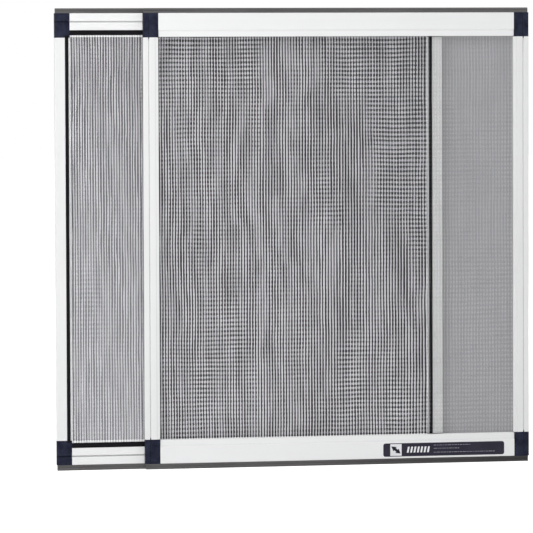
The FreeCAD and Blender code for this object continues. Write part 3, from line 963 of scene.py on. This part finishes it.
@dataclass
class Studio:
    """Camera, lights, floor and the cards behind the openings."""

    camera_place: Vector = field(default_factory=lambda: Vector((-0.9535, -4.9422, 0.5457)))
    yaw: float = math.radians(9.8433)
    pitch: float = math.radians(-2.1975)
    roll: float = math.radians(-0.2243)
    focal_pixels: float = 3780.7
    lifted_pixels: float = 65.0
    view_end: float = 100.0
    lamps: tuple = (Lamp("key", (-1.6, -2.1, 1.25), 1.6, 43.5),
                    Lamp("fill", (1.8, -3.2, 1.2), 2.4, 5.0),
                    Lamp("back", (1.4, 2.8, 1.9), 2.4, 18.0))
    lamp_aim: tuple = (0.0, 0.0, 0.3)
    card_gap: float = 7 * MILLIMETRE
    card_margin: float = 12 * MILLIMETRE
    card_colour: tuple = (0.25, 0.25, 0.27)
    rear_card_glow: float = 0.13
    # Painted shade: the rear card darkens towards its top.
    rear_card_top_shade: float = 0.6
    front_card_glow: float = 0.22
    card_step: float = 2 * MILLIMETRE
    card_change: float = 6 * MILLIMETRE
    # Colour of the dark card, a painted shadow behind the overlap.
    shadow_card_colour: tuple = (0.05, 0.05, 0.055)
    floor_size: float = 30.0
    world_strength: float = 0.39
    floor_colour: tuple = (0.94, 0.94, 0.94)
    floor_glow: float = 0.74

    def set_camera(self) -> None:
        """Camera at the photograph's place, turned by yaw, pitch and roll."""
        forward = Vector((math.sin(self.yaw) * math.cos(self.pitch),
                          math.cos(self.yaw) * math.cos(self.pitch),
                          math.sin(self.pitch)))
        level = Vector((math.cos(self.yaw), -math.sin(self.yaw), 0))
        upward = level.cross(forward)
        right = level * math.cos(self.roll) + upward * math.sin(self.roll)
        above = upward * math.cos(self.roll) - level * math.sin(self.roll)
        turn = Matrix((right, above, -forward)).transposed()
        data = bpy.data.cameras.new("camera")
        data.sensor_width = SENSOR_WIDTH
        data.lens = self.focal_pixels * SENSOR_WIDTH / PHOTO_PIXELS
        data.shift_y = -self.lifted_pixels / PHOTO_PIXELS
        data.clip_end = self.view_end
        camera = bpy.data.objects.new("camera", data)
        camera.matrix_world = Matrix.Translation(self.camera_place) @ turn.to_4x4()
        bpy.context.scene.collection.objects.link(camera)
        bpy.context.scene.camera = camera

    def add_light(self, lamp: Lamp) -> None:
        """Hang one lamp so that it faces the object."""
        data = bpy.data.lights.new(lamp.name, "AREA")
        data.size = lamp.size
        data.energy = lamp.power
        light = bpy.data.objects.new(lamp.name, data)
        light.location = lamp.place
        way = Vector(self.lamp_aim) - Vector(lamp.place)
        light.rotation_euler = way.to_track_quat("-Z", "Y").to_euler()
        bpy.context.scene.collection.objects.link(light)

    def set_world(self) -> None:
        """Surroundings that are white to the eye and light the object less than they show."""
        world = bpy.data.worlds.new("white_room")
        world.use_nodes = True
        bpy.context.scene.world = world
        graph = Graph(world.node_tree)
        strength = graph.span(self.seen(graph), 0, 1, self.world_strength, 1.0)
        background = graph.node("ShaderNodeBackground", Color=(1, 1, 1, 1), Strength=strength)
        graph.node("ShaderNodeOutputWorld", Surface=background.outputs[0])

    def seen(self, graph: Graph) -> bpy.types.NodeSocket:
        """1 for what is looked at, mirrored or seen through something clear, else 0."""
        paths = graph.node("ShaderNodeLightPath").outputs
        looked_at = graph.math("MAXIMUM", paths["Is Camera Ray"], paths["Is Transmission Ray"])
        return graph.math("MAXIMUM", looked_at, paths["Is Glossy Ray"])

    def paper(self, name: str, colour: tuple, glow: float, one_sided: bool,
              fade: float = 0.0) -> bpy.types.Material:
        """Plain paper that can look lighter to the eye than its own light makes it.

        Args:
            name: the material's name.
            colour: its red, green and blue.
            glow: the light added for the eye.
            one_sided: whether the paper can't be seen from behind.
            fade: painted shade, how much of its lightness it loses towards its top.

        Returns:
            The paper's material.
        """
        material = bpy.data.materials.new(name)
        material.use_nodes = True
        graph = Graph(material.node_tree)
        height = graph.node("ShaderNodeSeparateXYZ", Vector=graph.place()).outputs["Z"]
        # Painted shade: the paper loses lightness and glow towards its top.
        left_over = graph.span(height, 0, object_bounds()[1][2], 1.0, 1.0 - fade)
        diffuse = graph.node("ShaderNodeBsdfDiffuse",
                             Color=graph.blend(left_over, (0, 0, 0, 1), (*colour, 1)))
        shown = graph.math("MULTIPLY", self.seen(graph), graph.math("MULTIPLY", left_over, glow))
        emission = graph.node("ShaderNodeEmission", Color=(1, 1, 1, 1), Strength=shown)
        surface = graph.node("ShaderNodeAddShader")
        graph.feed(surface.inputs[0], diffuse.outputs[0])
        graph.feed(surface.inputs[1], emission.outputs[0])
        if one_sided:
            clear = graph.node("ShaderNodeBsdfTransparent")
            choice = graph.node("ShaderNodeMixShader")
            graph.feed(choice.inputs[0], graph.node("ShaderNodeNewGeometry").outputs["Backfacing"])
            graph.feed(choice.inputs[1], surface.outputs[0])
            graph.feed(choice.inputs[2], clear.outputs[0])
            surface = choice
        graph.node("ShaderNodeOutputMaterial", Surface=surface.outputs[0])
        return material

    def add_sheet(self, name: str, place: Vector, turn: tuple, size: tuple,
                  material: bpy.types.Material) -> bpy.types.Object:
        """One flat sheet of the studio.

        Args:
            name: the sheet's name.
            place: its middle.
            turn: its angles about the three axes.
            size: its width and height.
            material: what it is made of.

        Returns:
            The sheet's object.
        """
        deselect_all()
        bpy.ops.mesh.primitive_plane_add(size=1, location=place, rotation=turn)
        sheet = bpy.context.view_layer.objects.active
        sheet.name = name
        sheet.scale = (*size, 1)
        set_down(sheet)
        sheet.data.materials.append(material)
        sheet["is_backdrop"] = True
        return sheet

    def add_card(self, card: Card) -> None:
        """Put up a card that is seen through the mesh, from the front alone."""
        low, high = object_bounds()
        middle = Vector((sum(card.limits) / 2, high[1] + card.gap, (low[2] + high[2]) / 2))
        size = (card.limits[1] - card.limits[0], high[2] - low[2] - 2 * self.card_margin)
        sheet = self.add_sheet(card.name, middle, (math.pi / 2, 0, 0), size,
                               self.paper(f"{card.name}_paper", card.colour, card.glow, True, card.fade))
        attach(sheet, card.body)
        sheet.visible_shadow = False
        sheet.visible_diffuse = False
        sheet.visible_glossy = False

    def add_cards(self) -> None:
        """Grey card behind the rear frame, and before it two more, which go with the front frame.

        Of those two, the dark one is a painted shadow where the meshes overlap, and the grey one lies to
        the right of it.
        """
        rear_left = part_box("rear_left_stile")[0][0] + self.card_margin
        rear_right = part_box("rear_right_stile")[1][0] - self.card_margin
        front_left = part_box("front_left_stile")[0][0]
        front_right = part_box("front_right_stile")[1][0] - self.card_margin
        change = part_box("rear_right_stile")[0][0] + self.card_change
        self.add_card(Card("rear_card", "rear_frame", (rear_left, rear_right),
                           self.card_gap + self.card_step, self.card_colour, self.rear_card_glow,
                           self.rear_card_top_shade))
        # Painted shadow: a dark card behind the overlap of the two meshes.
        self.add_card(Card("overlap_card", "front_frame", (front_left, change), self.card_gap,
                           self.shadow_card_colour, 0.0))
        self.add_card(Card("front_card", "front_frame", (change, front_right), self.card_gap,
                           self.card_colour, self.front_card_glow))

    def build(self) -> None:
        """Set up the whole studio around the object."""
        bpy.context.scene.view_settings.view_transform = "Standard"
        self.add_sheet("floor", Vector((0, 0, 0)), (0, 0, 0), (self.floor_size, self.floor_size),
                       self.paper("floor_paper", self.floor_colour, self.floor_glow, False))
        self.add_cards()
        self.set_world()
        for lamp in self.lamps:
            self.add_light(lamp)
        self.set_camera()


# Finishes and wires of this screen

RAIL_COAT = PowderCoat(Axis.X)
# The stiles wear a darker copy of the rails' coat: painted shade on the upright pieces.
SHADED_STILE_COAT = PowderCoat(Axis.Z, (0.84, 0.845, 0.847, 1.0), (0.81, 0.815, 0.82, 1.0))
LABEL_FILM = PrintedFilm("film", (0.015, 0.013, 0.027, 1.0), (0.024, 0.021, 0.036, 1.0))
LABEL_INK = PrintedFilm("ink", (0.86, 0.86, 0.88, 1.0), (0.78, 0.78, 0.8, 1.0))
FAINT_INK = PrintedFilm("faint_ink", (0.34, 0.33, 0.38, 1.0), (0.2, 0.19, 0.24, 1.0))
OVERLAP_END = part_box("rear_right_stile")[0][0]
FRONT_WIRE = ScreenWire("front", 0.52, 2.0, 0.55, calm_from=OVERLAP_END)
REAR_WIRE = ScreenWire("rear", 0.34, 2.3, 0.15, shift=0.45 * MILLIMETRE)
FRONT_WIRE_WIDTH = 0.25 * MILLIMETRE
REAR_WIRE_WIDTH = 0.32 * MILLIMETRE


def main() -> None:
    """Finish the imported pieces, weave and print what is new, and set up the studio."""
    logging.basicConfig(level=logging.INFO, format="%(message)s")
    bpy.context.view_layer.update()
    effects = Effects()
    level_spline, upright_spline = (SplineVinyl(axis).build(effects) for axis in Axis)
    film = LABEL_FILM.build(effects)
    finishes = {
        "_corner": MouldedPlastic().build(effects),
        "_seal": SealVinyl().build(effects),
        "_rail": RAIL_COAT.build(effects),
        "_stile": SHADED_STILE_COAT.build(effects),
        "top_spline": level_spline,
        "bottom_spline": level_spline,
        "left_spline": upright_spline,
        "right_spline": upright_spline,
        "_label": film,
    }
    for name in ("front", "rear"):
        SlidingFrame(name).dress(finishes)
    WirePanel("front", SplineSide.BACK, FRONT_WIRE.build(effects), FRONT_WIRE_WIDTH).build()
    WirePanel("rear", SplineSide.FRONT, REAR_WIRE.build(effects), REAR_WIRE_WIDTH).build()
    LabelPrint(LABEL_INK.build(effects), FAINT_INK.build(effects), film).build()
    Studio().build()


if __name__ == "__main__":
    main()
